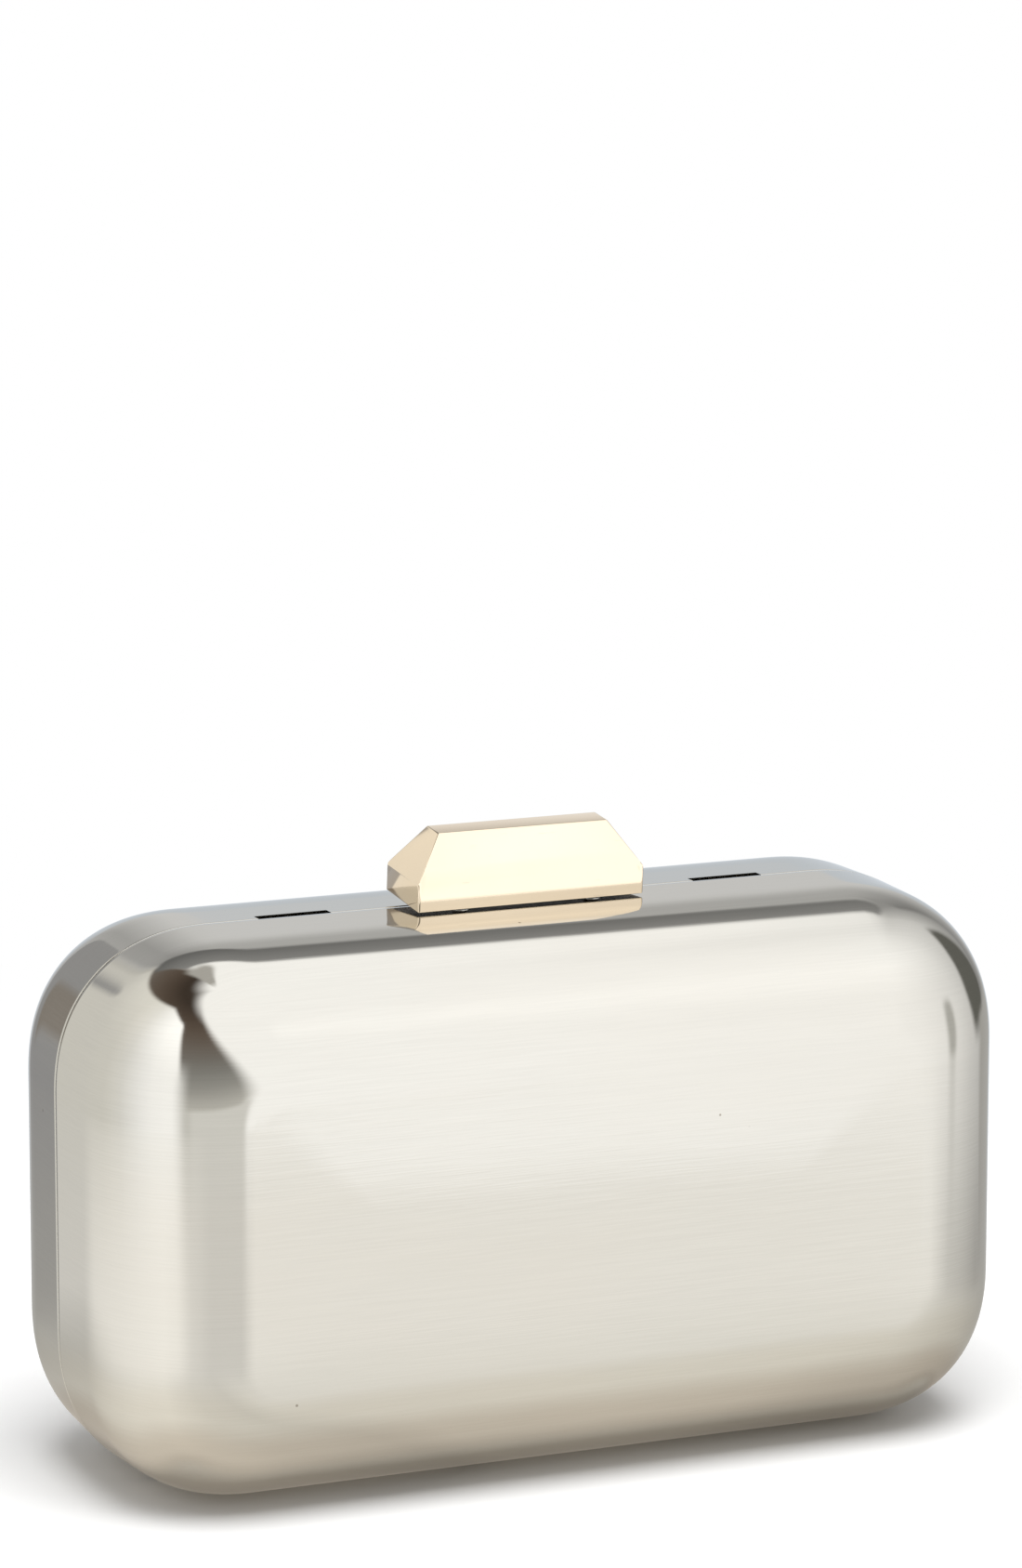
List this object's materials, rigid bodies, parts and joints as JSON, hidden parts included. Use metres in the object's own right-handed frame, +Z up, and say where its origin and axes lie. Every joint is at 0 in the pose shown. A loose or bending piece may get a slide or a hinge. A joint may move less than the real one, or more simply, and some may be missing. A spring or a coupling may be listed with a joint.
{
  "type": "minaudiere",
  "caption": "Hard metal box clutch: two rounded brushed shells hinged along the base seam, closed by a rocking step-cut bar on top.",
  "frame": {"origin": "on the surface the bag stands on, at the middle of the base seam", "axes": "+X along the width to the right, +Z up, the front face looks along -Y"},
  "size_m": [0.178, 0.075, 0.1163],
  "materials": {
    "shell_metal": "champagne plating, brushed along the width, lacquered",
    "frame_metal": "satin nickel plating",
    "steel": "bright zinc plating",
    "gold_metal": "pale gold plating, polished",
    "card": "pressed grey board",
    "satin": "satin weave, glued to the board"
  },
  "bodies": {
    "rear_half": {"rear_shell": "shell_metal", "rear_frame": "frame_metal", "rear_former": "card", "rear_lining": "satin", "rear_hinge_leaf": "frame_metal", "rear_hinge_rivets": "steel", "hinge_pin": "steel", "keeper": "steel", "keeper_rivets": "steel", "left_chain_lug": "frame_metal", "right_chain_lug": "frame_metal", "lug_rivets": "steel"},
    "front_half": {"front_shell": "shell_metal", "front_frame": "frame_metal", "front_former": "card", "front_lining": "satin", "front_hinge_leaf": "frame_metal", "front_hinge_rivets": "steel", "stem_ferrules": "frame_metal", "lock_housing": "frame_metal", "housing_rivets": "steel", "return_spring": "steel"},
    "clasp": {"clasp_bar": "gold_metal", "clasp_stems": "steel", "latch_hook": "steel", "stem_nuts": "steel"},
    "left_ring": {"left_chain_ring": "gold_metal"},
    "right_ring": {"right_chain_ring": "gold_metal"}
  },
  "joints": [
    {"name": "shell_hinge", "type": "hinge", "parent": "rear_half", "child": "front_half", "pos_m": [0, 0, 0.0024], "axis": [1, 0, 0], "range_deg": [0, 75]},
    {"name": "clasp_press", "type": "hinge", "parent": "front_half", "child": "clasp", "pos_m": [0, -0.005, 0.1004], "axis": [-1, 0, 0], "range_deg": [0, 5.5], "stiffness_Nm_per_rad": 0.3, "springref_deg": -5.73},
    {"name": "left_ring_swing", "type": "hinge", "parent": "rear_half", "child": "left_ring", "pos_m": [-0.043, 0.007, 0.0945], "axis": [1, 0, 0], "range_deg": [-60, 60]},
    {"name": "right_ring_swing", "type": "hinge", "parent": "rear_half", "child": "right_ring", "pos_m": [0.043, 0.007, 0.0945], "axis": [1, 0, 0], "range_deg": [-60, 60]}
  ]
}
